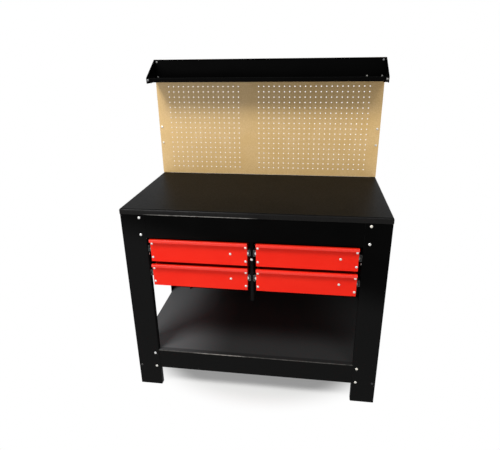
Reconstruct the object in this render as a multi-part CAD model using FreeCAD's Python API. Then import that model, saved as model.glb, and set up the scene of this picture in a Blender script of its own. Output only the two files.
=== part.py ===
import FreeCAD, Part
import math
import os

V = FreeCAD.Vector

# Steel workshop bench with four drawers, a lower shelf, a perforated back board and a tray above it.
# Millimetres. X runs to the right, Y to the rear, Z up. The origin is on the floor, in the middle of
# the whole footprint.

# Worktop: a pressed pan whose skirt drops over the frame
worktop_width = 1120.0
worktop_depth = 600.0
worktop_height = 913.0
worktop_sheet = 1.2
worktop_skirt = 24.0
worktop_edge_radius = 8.0
skirt_gap = 0.3

# Frame of folded sheet: legs, aprons and lower shelf
frame_sheet = 1.5
bend_radius = 2.0
leg_face = 106.5
leg_side = 60.0
leg_lip = 25.0
apron_drop = 130.5
apron_flange = 20.0
shelf_height = 203.0
shelf_front = 102.0
shelf_return = 15.0
shelf_side_drop = 40.0
notch_gap = 1.0

# Hat-section stiffeners under the worktop and the lower shelf
hat_width = 50.0
hat_depth = 16.0
hat_brim = 18.0
worktop_hat_spacing = 220.0
hat_end_gap = 8.0

# Back sheet behind the lower bay
back_sheet = 0.8
back_overlap = 55.0
back_side_gap = 4.0

# Drawer carriers at the legs and the two-piece divider between the drawer columns
carrier_drop = 184.0
carrier_flange = 16.0
carrier_setback = 3.0
divider_drop = 276.0
divider_width = 12.0
divider_play = 2.0

# Ball-bearing drawer slides
slide_gap = 12.7
slide_height = 27.0
slide_length = 400.0
slide_setback = 3.0
slide_rise = 6.0
rail_sheet = 1.2
rail_depth = 11.0
rail_hook = 3.2
moving_rail_height = 17.0
moving_rail_depth = 9.5
stop_height = 19.0
stop_gap = 1.5
stop_sides = 4
cage_length = 150.0
cage_start = 158.0
cage_web = 0.6
running_gap = 0.3

# Drawers
drawer_front_height = 106.0
drawer_row_pitch = 117.0
drawer_top_gap = 1.5
drawer_sheet = 1.2
pull_depth = 13.0
pull_drop = 12.0
pull_radius = 1.5
front_return = 10.0
box_sheet = 0.9
box_depth = 430.0
box_height = 78.0
box_lift = 12.0
box_return = 8.0

# Uprights, back board and tray
back_height = 571.0
upright_width = 25.0
upright_depth = 28.0
upright_foot = 300.0
board_sheet = 4.0
board_side_gap = 1.0
hole_size = 5.4
hole_pitch = 25.4
holes_every = 2
hole_margin_side = 62.0
hole_margin_top = 29.0
hole_margin_bottom = 34.0
plain_strip_centre = -89.0
plain_strip_width = 76.0
tray_sheet = 1.2
tray_depth = 130.0
tray_back = 99.0
tray_lip = 20.0
tray_hem = 7.0
tray_end_sheet = 1.5
tray_tab = 26.0
tray_end_radius = 5.0
tray_end_drop = 6.0

# Fasteners: six-sided heads on square necks, with square holes to match
head_sides = 6
neck_sides = 4
bolt_head_radius = 7.5
bolt_head_height = 4.0
bolt_radius = 4.0
screw_head_radius = 5.5
screw_head_height = 2.6
screw_radius = 2.5
hole_play = 0.4
bolt_tail = 5.0
screw_tail = 3.0

# Bolt places
apron_bolt_inset = 23.0
apron_bolt_top = 36.5
apron_bolt_spacing = 77.0
shelf_bolt_inset = 18.0
shelf_bolt_top = 18.5
shelf_bolt_spacing = 75.0
shelf_outer_bolt_inset = 14.5
side_bolt_inset = 36.0
upright_bolt_drop = 85.0
upright_bolt_spacing = 178.0
carrier_bolt_drop = 77.0
carrier_bolt_inset = 13.0
divider_top_bolt_inset = 11.0
board_screw_rise = 161.0
board_screw_spacing = 81.0
tray_bolt_top = 12.0
tray_bolt_spacing = 71.0
tray_clamp_bolt_from_end = 82.0
tray_clamp_bolt_rise = 16.0
tray_tab_bolt_inset = 8.5
front_screw_side = 7.0
front_screw_end = 21.0
front_middle_screw_side = 72.0

# Derived places
half_width = worktop_width / 2
inset = worktop_sheet + skirt_gap
front_overhang = pull_depth - inset
rear_overhang = upright_depth - inset
overall_depth = front_overhang + worktop_depth + rear_overhang
front_edge = front_overhang - overall_depth / 2
rear_edge = front_edge + worktop_depth
middle_y = (front_edge + rear_edge) / 2
leg_front = front_edge + inset
leg_rear = rear_edge - inset
leg_x = half_width - inset
leg_inner_x = leg_x - leg_face
worktop_corner_radius = bend_radius + frame_sheet + inset
apron_top_radius = max(bend_radius, worktop_edge_radius - inset - frame_sheet)
under_top = worktop_height - worktop_sheet
apron_bottom = under_top - apron_drop
shelf_bottom = shelf_height - shelf_front
web_front = leg_front + frame_sheet
web_rear = leg_rear - frame_sheet
shelf_x = leg_x - frame_sheet - bend_radius
side_web_x = leg_x - frame_sheet
apron_x = side_web_x - apron_flange - frame_sheet
carrier_x = leg_inner_x - frame_sheet
divider_x = divider_width / 2
carrier_bottom = apron_bottom - carrier_drop
divider_bottom = apron_bottom - divider_drop
drawer_inner_x = divider_x + slide_gap
drawer_outer_x = carrier_x - slide_gap
box_front = leg_front + drawer_sheet
slide_front = web_front + slide_setback
upright_outer_x = leg_x
upright_inner_x = upright_outer_x - upright_width
upright_centre_x = upright_outer_x - upright_width / 2
upright_bottom = under_top - upright_foot
back_x = upright_inner_x - back_side_gap
back_panel_bottom = shelf_height - back_overlap
back_panel_top = apron_bottom + back_overlap
back_top = worktop_height + back_height
board_x = half_width - board_side_gap
board_front = leg_rear - board_sheet
tray_floor = back_top - tray_back
tray_rear = board_front
tray_front = tray_rear - tray_depth
tray_x = half_width - tray_end_sheet
bolt_hole = bolt_radius + hole_play
screw_hole = screw_radius + hole_play

LEFT_RIGHT = (("left", -1), ("right", 1))
ROWS = (("top", 0), ("bottom", 1))


# Shaping helpers


def block(x0, x1, y0, y1, z0, z1):
    """Rectangular solid between two corners."""
    return Part.makeBox(x1 - x0, y1 - y0, z1 - z0, V(x0, y0, z0))


def mirror_x(shape):
    return shape.mirror(V(0, 0, 0), V(1, 0, 0))


def mirror_y(shape):
    """Mirror image in the middle of the worktop's depth."""
    return shape.mirror(V(0, middle_y, 0), V(0, 1, 0))


def sided(shape, side):
    """The right-hand shape, or its mirror image on the left."""
    return shape if side > 0 else mirror_x(shape)


def on_axis(axis, start, a, b):
    """Point of a section that is drawn across the named axis."""
    places = {"x": (start, a, b), "y": (a, start, b), "z": (a, b, start)}
    return V(*places[axis])


def along(axis, length):
    return V(length if axis == "x" else 0, length if axis == "y" else 0, length if axis == "z" else 0)


def fold_line(points, offset, thickness, radii):
    """One face line of a folded sheet: straight runs and bend arcs. A radius of 0 is a sharp fold."""
    runs = [(q - p).normalize() for p, q in zip(points, points[1:])]
    normals = [V(-d.y, d.x, 0) for d in runs]
    start = points[0] + normals[0] * offset
    pieces = []
    for i in range(1, len(runs)):
        before, after = normals[i - 1], normals[i]
        corner = points[i] + (before + after) * (offset / (1 + before.dot(after)))
        turn = runs[i - 1].x * runs[i].y - runs[i - 1].y * runs[i].x
        radius = radii[i - 1]
        if radius <= 0:
            pieces.append(("run", start, corner))
            start = corner
            continue
        bend = radius + (thickness - offset if turn > 0 else offset)
        setback = bend * math.tan(math.acos(max(-1.0, min(1.0, runs[i - 1].dot(runs[i])))) / 2)
        first = corner - runs[i - 1] * setback
        last = corner + runs[i] * setback
        centre = first + before * (bend if turn > 0 else -bend)
        middle = centre + (corner - centre).normalize() * bend
        pieces.append(("run", start, first))
        pieces.append(("bend", first, middle, last))
        start = last
    pieces.append(("run", start, points[-1] + normals[-1] * offset))
    return pieces


def folded(section, thickness, axis, start, end, radii=None):
    """Sheet folded along a section line. The sheet lies on the left of the line as it is walked."""
    points = [V(a, b, 0) for a, b in section]
    radii = radii or [0.0] * (len(points) - 2)
    near = fold_line(points, 0.0, thickness, radii)
    far = fold_line(points, thickness, thickness, radii)
    outline = near + [("run", near[-1][-1], far[-1][-1])] + far + [("run", far[0][1], near[0][1])]
    edges = []
    for piece in outline:
        corners = [on_axis(axis, start, p.x, p.y) for p in piece[1:]]
        if piece[0] == "run":
            edges.append(Part.LineSegment(*corners).toShape())
        else:
            edges.append(Part.Arc(*corners).toShape())
    face = Part.Face(Part.Wire(Part.__sortEdges__(edges)))
    return face.extrude(along(axis, end - start))


def plate(outline, axis, start, end):
    """Flat or thick piece with a straight-sided section across the named axis."""
    corners = [on_axis(axis, start, a, b) for a, b in outline]
    face = Part.Face(Part.makePolygon(corners + corners[:1]))
    return face.extrude(along(axis, end - start))


def ring(centre, out, radius, sides):
    """Closed few-sided ring of points round a direction."""
    first = V(0, 0, 1) if abs(out.z) < 0.5 else V(1, 0, 0)
    second = out.cross(first)
    turns = [2 * math.pi * (i + 0.5) / sides for i in range(sides)]
    corners = [centre + first * (radius * math.cos(t)) + second * (radius * math.sin(t)) for t in turns]
    return Part.makePolygon(corners + corners[:1])


def stub(centre, out, radius, length, sides):
    """Few-sided bar that runs from its centre point along a direction."""
    return Part.Face(ring(centre, out, radius, sides)).extrude(out * length)


class Fastener:
    """A pan-head bolt or screw: where its head seats, which way the head faces and what it grips."""

    def __init__(self, seat, out, grip, small=False):
        self.seat = seat
        self.out = out
        self.grip = grip
        self.small = small

    def solid(self):
        head_radius = screw_head_radius if self.small else bolt_head_radius
        head_height = screw_head_height if self.small else bolt_head_height
        radius = screw_radius if self.small else bolt_radius
        tail = screw_tail if self.small else bolt_tail
        rim = ring(self.seat, self.out, head_radius, head_sides)
        crown = ring(self.seat + self.out * head_height, self.out, head_radius * 0.72, head_sides)
        head = Part.makeLoft([rim, crown], True, True)
        shank = stub(self.seat, self.out * -1, radius, self.grip + tail, neck_sides)
        return head.fuse(shank).removeSplitter()

    def hole(self):
        radius = screw_hole if self.small else bolt_hole
        start = self.seat + self.out * 0.5
        return stub(start, self.out * -1, radius, self.grip + 1.0, neck_sides)


def drilled(shape, fasteners):
    """The shape with a hole for each fastener that goes through it."""
    return shape.cut(Part.makeCompound([f.hole() for f in fasteners])) if fasteners else shape


def group(fasteners):
    return Part.makeCompound([f.solid() for f in fasteners])


def at_rear(front):
    """Mirror image of a fastener at the rear. Where it meets the back panel, it clamps that too."""
    seat = V(front.seat.x, 2 * middle_y - front.seat.y, front.seat.z)
    out = V(front.out.x, -front.out.y, front.out.z)
    outside = seat.y > leg_rear - 1e-6 and out.y > 0.5
    clamped = outside and abs(seat.x) < back_x and back_panel_bottom < seat.z < back_panel_top
    if clamped:
        return Fastener(seat + out * back_sheet, out, front.grip + back_sheet, front.small)
    return Fastener(seat, out, front.grip, front.small)


def both_ends(fasteners):
    """Fasteners at the front and their mirror images at the rear."""
    return fasteners + [at_rear(f) for f in fasteners]


# Where the fasteners go

FORWARD = V(0, -1, 0)
BACKWARD = V(0, 1, 0)


def apron_bolts():
    heights = [under_top - apron_bolt_top - i * apron_bolt_spacing for i in range(2)]
    places = [V(s * (leg_inner_x + apron_bolt_inset), leg_front, z) for s in (-1, 1) for z in heights]
    return both_ends([Fastener(p, FORWARD, 2 * frame_sheet) for p in places])


def shelf_bolts():
    """Two bolts near the leg's inner edge and a small one near its outer edge."""
    top = shelf_height - shelf_bolt_top
    low = top - shelf_bolt_spacing
    inner_x, outer_x = leg_inner_x + shelf_bolt_inset, leg_x - shelf_outer_bolt_inset
    places = [(inner_x, top, False), (inner_x, low, False), (outer_x, low, True)]
    return both_ends([Fastener(V(s * x, leg_front, z), FORWARD, 2 * frame_sheet, small)
                      for s in (-1, 1) for x, z, small in places])


def side_bolts():
    heights = [under_top - apron_bolt_top - i * apron_bolt_spacing for i in range(2)]
    front = [Fastener(V(s * leg_x, leg_front + side_bolt_inset, z), V(s, 0, 0), 2 * frame_sheet)
             for s in (-1, 1) for z in heights]
    return both_ends(front)


def upright_bolts():
    heights = [under_top - upright_bolt_drop - i * upright_bolt_spacing for i in range(2)]
    return [Fastener(V(s * upright_centre_x, leg_rear + frame_sheet, z), BACKWARD, 2 * frame_sheet)
            for s in (-1, 1) for z in heights]


def carrier_bolts():
    z = apron_bottom - carrier_bolt_drop
    y = leg_front + carrier_bolt_inset
    return both_ends([Fastener(V(s * carrier_x, y, z), V(-s, 0, 0), 2 * frame_sheet, True) for s in (-1, 1)])


def divider_bolts():
    """One bolt joins the divider's front flanges, one clamps the back panel to its rear flanges."""
    z = apron_bottom - carrier_bolt_drop
    grip = 2 * frame_sheet
    return [Fastener(V(0, web_front, z), FORWARD, grip, True),
            Fastener(V(0, leg_rear + back_sheet, z), BACKWARD, grip + back_sheet, True)]


def divider_top_bolts():
    """Bolts that hang the divider's halves from the lower flanges of the aprons."""
    seat = V(0, web_front + divider_top_bolt_inset, apron_bottom + frame_sheet)
    return both_ends([Fastener(seat, V(0, 0, 1), 3 * frame_sheet, True)])


def board_screws():
    heights = [worktop_height + board_screw_rise + i * board_screw_spacing for i in range(2)]
    return [Fastener(V(s * upright_centre_x, board_front, z), FORWARD, board_sheet + frame_sheet, True)
            for s in (-1, 1) for z in heights]


def tray_bolts():
    """Bolts through the tray's back wall, the board and the uprights."""
    heights = [back_top - tray_bolt_top - i * tray_bolt_spacing for i in range(2)]
    grip = tray_sheet + board_sheet + frame_sheet
    return [Fastener(V(s * upright_centre_x, tray_rear - tray_sheet, z), FORWARD, grip, True)
            for s in (-1, 1) for z in heights]


def tray_clamp_bolts():
    """One bolt near the right end clamps the board to the tray's back wall."""
    seat = V(tray_x - tray_clamp_bolt_from_end, tray_rear - tray_sheet, tray_floor + tray_clamp_bolt_rise)
    return [Fastener(seat, FORWARD, tray_sheet + board_sheet, True)]


def tray_tab_bolts():
    z = tray_floor + tray_lip / 2
    return [Fastener(V(s * (half_width - tray_tab_bolt_inset), tray_front - tray_end_sheet, z), FORWARD,
                     tray_end_sheet + tray_sheet, True) for s in (-1, 1)]


# Frame


def rounded_block(x, y0, y1, z0, z1, corner, edge):
    """Block centred on X with a rolled top edge, trimmed to round upright corners."""
    shape = block(-x, x, y0, y1, z0, z1)
    upright = [e for e in shape.Edges if abs(e.Vertexes[0].Z - e.Vertexes[1].Z) > 1e-6]
    rim = [e for e in shape.Edges if all(abs(v.Z - z1) < 1e-6 for v in e.Vertexes)]
    return shape.makeFillet(edge, rim).common(shape.makeFillet(corner, upright))


def worktop():
    """Pan with a rolled edge. The rear edge is notched where the uprights pass."""
    bottom = worktop_height - worktop_skirt
    outside = rounded_block(half_width, front_edge, rear_edge, bottom, worktop_height,
                            worktop_corner_radius, worktop_edge_radius)
    t = worktop_sheet
    inside = rounded_block(half_width - t, front_edge + t, rear_edge - t, bottom - t, under_top,
                           worktop_corner_radius - t, worktop_edge_radius - t)
    pan = outside.cut(inside)
    for side in (-1, 1):
        near, far = sorted((side * (upright_inner_x - skirt_gap), side * (half_width + t)))
        pan = pan.cut(block(near, far, leg_rear - skirt_gap, rear_edge + t, bottom - t, worktop_height + t))
    return pan


def hat(y, z, x):
    """Hat-section stiffener along X, its brims against the sheet above."""
    crown = hat_width / 2
    brim = crown + hat_brim
    section = [(y + brim, z), (y + crown, z), (y + crown, z - hat_depth), (y - crown, z - hat_depth),
               (y - crown, z), (y - brim, z)]
    return folded(section, frame_sheet, "x", -x, x)


def front_leg():
    """Right front leg: wide face, side flange and inner lip. The lip is cut away for apron and shelf."""
    section = [(leg_inner_x, leg_front + leg_lip), (leg_inner_x, leg_front), (leg_x, leg_front),
               (leg_x, leg_front + leg_side)]
    top = under_top - worktop_edge_radius
    leg = folded(section, frame_sheet, "z", 0.0, top, [bend_radius] * 2)
    lip_inside = leg_inner_x + frame_sheet + bend_radius + notch_gap
    for low, high in ((apron_bottom, top), (shelf_bottom, shelf_height)):
        leg = leg.cut(block(leg_inner_x - notch_gap, lip_inside, web_front, leg_front + leg_lip + notch_gap,
                            low - notch_gap, high + notch_gap))
    return leg


def apron():
    """Front apron: a channel with its flanges to the rear and a wide top bend inside the worktop's roll."""
    section = [(web_front + apron_flange, under_top), (web_front, under_top), (web_front, apron_bottom),
               (web_front + apron_flange, apron_bottom)]
    return folded(section, frame_sheet, "x", -apron_x, apron_x, [apron_top_radius, bend_radius])


def side_apron():
    """Right side apron, between the front and rear legs."""
    section = [(side_web_x - apron_flange, apron_bottom), (side_web_x, apron_bottom),
               (side_web_x, under_top), (side_web_x - apron_flange, under_top)]
    clear = max(frame_sheet + bend_radius, worktop_edge_radius)
    bends = [bend_radius, apron_top_radius]
    return folded(section, frame_sheet, "y", leg_front + clear, leg_rear - clear, bends)


def lower_shelf():
    """Shelf floor with deep front and rear walls, returned at the bottom, and short side walls."""
    section = [(web_rear - shelf_return, shelf_bottom), (web_rear, shelf_bottom),
               (web_rear, shelf_height), (web_front, shelf_height),
               (web_front, shelf_bottom), (web_front + shelf_return, shelf_bottom)]
    shelf = folded(section, frame_sheet, "x", -shelf_x, shelf_x, [0.0, bend_radius, bend_radius, 0.0])
    clear = frame_sheet + bend_radius
    wall = block(shelf_x - frame_sheet, shelf_x, web_front + clear, web_rear - clear,
                 shelf_height - shelf_side_drop, shelf_height - frame_sheet)
    return shelf.fuse([wall, mirror_x(wall)]).removeSplitter()


def back_panel():
    """Flat sheet behind the rear legs, held by the bolts of the rear apron and of the shelf."""
    return block(-back_x, back_x, leg_rear, leg_rear + back_sheet, back_panel_bottom, back_panel_top)


def drawer_carrier():
    """Right drawer carrier: a plate on the leg lips, with two flanges outwards between them.

    The plate and the flanges are solids that meet face to face.
    """
    plate_face = carrier_x + frame_sheet
    web = block(carrier_x, plate_face, web_front + carrier_setback, web_rear - carrier_setback,
                carrier_bottom, apron_bottom)
    clear = leg_lip + carrier_setback
    edge = carrier_x + carrier_flange
    flanges = [block(plate_face, edge, leg_front + clear, leg_rear - clear, z, z + frame_sheet)
               for z in (carrier_bottom, apron_bottom - frame_sheet)]
    return Part.makeCompound([web] + flanges)


def divider_left():
    """Left half of the divider. Its flanges lie over those of the right half."""
    x, t = divider_x, frame_sheet
    section = [(x, leg_rear), (-x, leg_rear), (-x, web_front), (x, web_front)]
    body = folded(section, t, "z", divider_bottom, apron_bottom)
    top = block(-x, x, web_front, leg_rear, apron_bottom - t, apron_bottom)
    return body.fuse(top).removeSplitter()


def divider_right():
    """Right half of the divider, its flanges inside those of the left half."""
    x, t = divider_x, frame_sheet
    reach = divider_play - x
    section = [(reach, web_front + t), (x, web_front + t), (x, leg_rear - t), (reach, leg_rear - t)]
    body = folded(section, t, "z", divider_bottom, apron_bottom - t)
    top = block(reach, x, web_front + t, leg_rear - t, apron_bottom - 2 * t, apron_bottom - t)
    return body.fuse(top).removeSplitter()


# Back board, uprights and tray


def upright():
    """Right upright: a channel, open to the rear."""
    x0, x1 = upright_inner_x, upright_outer_x
    flange_end = leg_rear + upright_depth
    section = [(x0, flange_end), (x0, leg_rear), (x1, leg_rear), (x1, flange_end)]
    return folded(section, frame_sheet, "z", upright_bottom, back_top)


def board_hole_places():
    """Places of the modelled holes: every second one of the board's grid, none in the plain strip."""
    columns = int((2 * board_x - 2 * hole_margin_side) / hole_pitch) + 1
    top = tray_floor - hole_margin_top
    rows = int((top - worktop_height - hole_margin_bottom) / hole_pitch) + 1
    first = -(columns - 1) * hole_pitch / 2
    across = [first + i * hole_pitch for i in range(0, columns, holes_every)]
    across = [x for x in across if abs(x - plain_strip_centre) > plain_strip_width / 2]
    return [(x, top - j * hole_pitch) for x in across for j in range(0, rows, holes_every)]


def pegboard():
    """Hardboard sheet that stands on the worktop, made as one holed face."""
    corners = [V(-board_x, board_front, worktop_height), V(board_x, board_front, worktop_height),
               V(board_x, board_front, back_top), V(-board_x, board_front, back_top)]
    outline = Part.makePolygon(corners + corners[:1])
    reach = hole_size / math.sqrt(2)
    holes = [ring(V(x, board_front, z), BACKWARD, reach, 4) for x, z in board_hole_places()]
    face = Part.makeFace([outline] + holes, "Part::FaceMakerBullseye")
    return face.extrude(V(0, board_sheet, 0))


def top_tray():
    """Tray above the board: high back wall, floor and low front lip, with hems on both edges.

    The floor with its two bends, the lip and the wall are solids that meet face to face.
    """
    section = [(tray_front + tray_hem, tray_floor + tray_lip), (tray_front, tray_floor + tray_lip),
               (tray_front, tray_floor), (tray_rear, tray_floor), (tray_rear, back_top),
               (tray_rear - tray_hem, back_top)]
    sheet = folded(section, tray_sheet, "x", -tray_x, tray_x, [0.0, bend_radius, bend_radius, 0.0])
    low = block(-tray_x, tray_x, tray_front, tray_rear, tray_floor, tray_floor + tray_sheet + bend_radius)
    return Part.makeCompound(sheet.common(low).Solids + sheet.cut(low).Solids)


def tray_end():
    """Right end plate: sloping top edge, round corner below the tray's floor and a tab over the lip."""
    t = tray_end_sheet
    front = tray_front - t
    low = tray_floor - tray_end_drop
    lip_top = tray_floor + tray_lip
    outline = [(tray_rear, low), (front, low), (front, lip_top), (tray_rear, back_top)]
    end = plate(outline, "x", half_width - t, half_width)
    corner = [e for e in end.Edges if all(abs(v.Y - front) < 1e-6 and abs(v.Z - low) < 1e-6
                                          for v in e.Vertexes)]
    end = end.makeFillet(min(tray_end_radius, tray_lip - t), corner)
    tab_bottom = low + tray_end_radius / 2
    tab = block(half_width - tray_tab, half_width, front, tray_front, tab_bottom, lip_top)
    return end.fuse(tab).removeSplitter()


# Drawers


def row_top(row):
    """Top of the drawer fronts in a row, counted from the top row."""
    return apron_bottom - drawer_top_gap - row * drawer_row_pitch


def slide_height_at(row):
    return row_top(row) - drawer_front_height / 2 + slide_rise


def slide_section(points, face_x, facing, z):
    """Slide section in the bench: distance from the carrier face, and height from the slide's middle."""
    return [(face_x + facing * u, z + v) for u, v in points]


def faces_of(side):
    """Carrier faces of one drawer column, with the way that each one faces."""
    return ((side * carrier_x, -side), (side * divider_x, side))


def rail_pair(side, row, points, thickness, start, end):
    z = slide_height_at(row)
    rails = []
    for face_x, facing in faces_of(side):
        section = slide_section(points, face_x, facing, z)
        rails.append(folded(section, facing * thickness, "y", start, end))
    return Part.makeCompound(rails)


def fixed_rails(side, row):
    """Fixed rails: channels on the carrier faces, hooked round the ball strips."""
    h, d = slide_height / 2, rail_depth
    points = [(d, h - rail_hook), (d, h), (0, h), (0, -h), (d, -h), (d, rail_hook - h)]
    return rail_pair(side, row, points, rail_sheet, slide_front, slide_front + slide_length)


def stop_outline():
    """Round-nosed end stop: flat at the drawer side, round towards the carrier face."""
    flat, height = slide_gap - rail_sheet, stop_height / 2
    reach = flat - stop_gap
    turns = [math.pi * i / stop_sides for i in range(stop_sides + 1)]
    nose = [(flat - reach * math.sin(t), height * math.cos(t)) for t in turns]
    return [(slide_gap, -height), (slide_gap, height)] + nose


def moving_rails(side, row):
    """Moving rails: narrower channels on the drawer sides, each with a stop before the fixed rail's end."""
    h, d = moving_rail_height / 2, slide_gap
    points = [(d - moving_rail_depth, -h), (d, -h), (d, h), (d - moving_rail_depth, h)]
    stop_rear = slide_front - running_gap
    start = stop_rear - rail_sheet
    rails = rail_pair(side, row, points, rail_sheet, start, slide_front + slide_length).Solids
    z = slide_height_at(row)
    stops = [plate(slide_section(stop_outline(), face_x, facing, z), "y", start, stop_rear)
             for face_x, facing in faces_of(side)]
    return Part.makeCompound([rail.fuse(stop).removeSplitter() for rail, stop in zip(rails, stops)])


def ball_cages(side, row):
    """Ball strips above and below each moving rail, joined by a thin web."""
    z = slide_height_at(row)
    back = rail_sheet + running_gap
    front = rail_depth - rail_sheet - running_gap
    high = slide_height / 2 - rail_sheet - running_gap
    low = moving_rail_height / 2 + running_gap
    points = [(back, -high), (front, -high), (front, -low), (back + cage_web, -low), (back + cage_web, low),
              (front, low), (front, high), (back, high)]
    start = slide_front + cage_start
    cages = [plate(slide_section(points, face_x, facing, z), "y", start, start + cage_length)
             for face_x, facing in faces_of(side)]
    return Part.makeCompound(cages)


def drawer_x(side):
    return sorted((side * drawer_inner_x, side * drawer_outer_x))


def front_screws(side, row):
    """Corner screws of a drawer front, and one more towards its right end."""
    x0, x1 = drawer_x(side)
    top = row_top(row)
    bottom = top - drawer_front_height
    places = [(x, z) for x in (x0 + front_screw_side, x1 - front_screw_side)
              for z in (top - front_screw_end, bottom + front_screw_end)]
    places.append((x1 - front_middle_screw_side, (top + bottom) / 2))
    grip = drawer_sheet + box_sheet
    return [Fastener(V(x, leg_front, z), FORWARD, grip, True) for x, z in places]


def drawer_front(side, row):
    """Front sheet: the top edge is folded forwards and down as a pull, the bottom edge is returned."""
    x0, x1 = drawer_x(side)
    top = row_top(row)
    bottom = top - drawer_front_height
    inner = leg_front - pull_depth + drawer_sheet
    section = [(inner, top - pull_drop), (inner, top - drawer_sheet), (leg_front, top - drawer_sheet),
               (leg_front, bottom), (leg_front + front_return, bottom)]
    front = folded(section, drawer_sheet, "x", x0, x1, [pull_radius, pull_radius, 0.0])
    return drilled(front, front_screws(side, row))


def drawer_box(side, row):
    """Open box: bottom and returned sides of one sheet, with a wall welded to each end."""
    x0, x1 = drawer_x(side)
    bottom = row_top(row) - drawer_front_height + box_lift
    top = bottom + box_height
    rear = box_front + box_depth
    section = [(x0 + box_return, top), (x0, top), (x0, bottom),
               (x1, bottom), (x1, top), (x1 - box_return, top)]
    sheet = folded(section, box_sheet, "y", box_front + box_sheet, rear - box_sheet)
    walls = [block(x0, x1, y, y + box_sheet, bottom, top) for y in (box_front, rear - box_sheet)]
    return Part.makeCompound([sheet] + [drilled(wall, front_screws(side, row)) for wall in walls])


def bench():
    """Every piece by name."""
    frame_bolts = apron_bolts() + shelf_bolts() + side_bolts()
    lip_bolts = carrier_bolts()
    leg_bolts = frame_bolts + lip_bolts
    back_bolts = upright_bolts() + board_screws() + tray_bolts()
    nodes = {"worktop": worktop()}
    hat_x = apron_x - hat_end_gap
    for name, way in (("front", -1), ("rear", 1)):
        nodes["worktop_stiffener_" + name] = hat(middle_y + way * worktop_hat_spacing / 2, under_top, hat_x)
    leg = front_leg()
    for name, side in LEFT_RIGHT:
        nodes["leg_front_" + name] = drilled(sided(leg, side), leg_bolts)
        nodes["leg_rear_" + name] = drilled(sided(mirror_y(leg), side), leg_bolts + upright_bolts())
        nodes["side_apron_" + name] = drilled(sided(side_apron(), side), side_bolts())
        nodes["drawer_carrier_" + name] = drilled(sided(drawer_carrier(), side), lip_bolts)
        nodes["upright_" + name] = drilled(sided(upright(), side), back_bolts)
        nodes["tray_end_" + name] = drilled(sided(tray_end(), side), tray_tab_bolts())
    nodes["front_apron"] = drilled(apron(), apron_bolts() + divider_top_bolts())
    nodes["rear_apron"] = drilled(mirror_y(apron()), apron_bolts() + divider_top_bolts())
    nodes["lower_shelf"] = drilled(lower_shelf(), shelf_bolts())
    nodes["shelf_stiffener"] = hat(middle_y, shelf_height - frame_sheet, shelf_x - frame_sheet - hat_end_gap)
    nodes["back_panel"] = drilled(back_panel(), frame_bolts + divider_bolts())
    nodes["divider_left"] = drilled(divider_left(), divider_bolts() + divider_top_bolts())
    nodes["divider_right"] = drilled(divider_right(), divider_bolts() + divider_top_bolts())
    nodes["pegboard"] = drilled(pegboard(), board_screws() + tray_bolts() + tray_clamp_bolts())
    nodes["top_tray"] = drilled(top_tray(), tray_bolts() + tray_clamp_bolts() + tray_tab_bolts())
    nodes["frame_bolts"] = group(frame_bolts)
    nodes["carrier_bolts"] = group(lip_bolts + divider_bolts() + divider_top_bolts())
    nodes["upright_bolts"] = group(upright_bolts())
    nodes["board_screws"] = group(board_screws())
    nodes["tray_bolts"] = group(tray_bolts() + tray_clamp_bolts() + tray_tab_bolts())
    for row_name, row in ROWS:
        for side_name, side in LEFT_RIGHT:
            place = "_" + row_name + "_" + side_name
            nodes["fixed_rails" + place] = fixed_rails(side, row)
            nodes["ball_cages" + place] = ball_cages(side, row)
            nodes["moving_rails" + place] = moving_rails(side, row)
            nodes["drawer_box" + place] = drawer_box(side, row)
            nodes["drawer_front" + place] = drawer_front(side, row)
            nodes["front_screws" + place] = group(front_screws(side, row))
    return nodes


os.makedirs("parts", exist_ok=True)
for node_name, node_shape in bench().items():
    node_shape.exportStep("parts/" + node_name + ".step")
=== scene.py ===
import math
import bmesh
import bpy
from mathutils import Matrix, Vector


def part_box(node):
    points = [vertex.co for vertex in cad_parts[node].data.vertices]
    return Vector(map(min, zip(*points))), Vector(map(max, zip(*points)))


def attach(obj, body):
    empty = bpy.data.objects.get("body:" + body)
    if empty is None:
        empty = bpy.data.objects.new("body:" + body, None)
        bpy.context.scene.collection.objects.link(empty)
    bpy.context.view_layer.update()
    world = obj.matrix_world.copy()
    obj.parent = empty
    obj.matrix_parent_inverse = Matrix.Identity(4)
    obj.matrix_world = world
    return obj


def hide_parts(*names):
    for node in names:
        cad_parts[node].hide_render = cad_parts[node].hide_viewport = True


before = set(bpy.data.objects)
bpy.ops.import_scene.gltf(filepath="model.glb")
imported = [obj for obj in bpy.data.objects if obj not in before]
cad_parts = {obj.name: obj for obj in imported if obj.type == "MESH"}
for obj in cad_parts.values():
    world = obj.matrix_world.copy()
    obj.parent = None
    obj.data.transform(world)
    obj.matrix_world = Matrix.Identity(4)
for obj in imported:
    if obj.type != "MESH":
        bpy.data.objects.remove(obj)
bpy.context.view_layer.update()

# Steel workshop bench with four drawers, a lower shelf, a perforated back board and a tray above it.
# Sizes are in millimetres, as in the solids, until a finished mesh is scaled to metres.
MM = 0.001
# Distances that count as none in a search, and the cosine that counts as parallel
FINE = 1e-4
CLOSE = 1e-3
NEAR = 1.0
PARALLEL = 0.99

BOTH = (-1, 1)
SIDES = ("left", "right")
PLACES = [row + "_" + side for row in ("top", "bottom") for side in SIDES]

FOLD_STEPS = 5
ROUND_STEPS = 6
EDGE_ROUND = 0.3
THIN_EDGE_ROUND = 0.2
EDGE_ANGLE = math.radians(50)
END_INSET = 1.0

WORKTOP_SHEET = 1.2
WORKTOP_ROLL = 8.0
WORKTOP_CORNER = 5.0
ROLL_SLOPE = 0.75
SKIRT_GAP = 0.3
NOTCH_MERGE = 0.25

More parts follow.
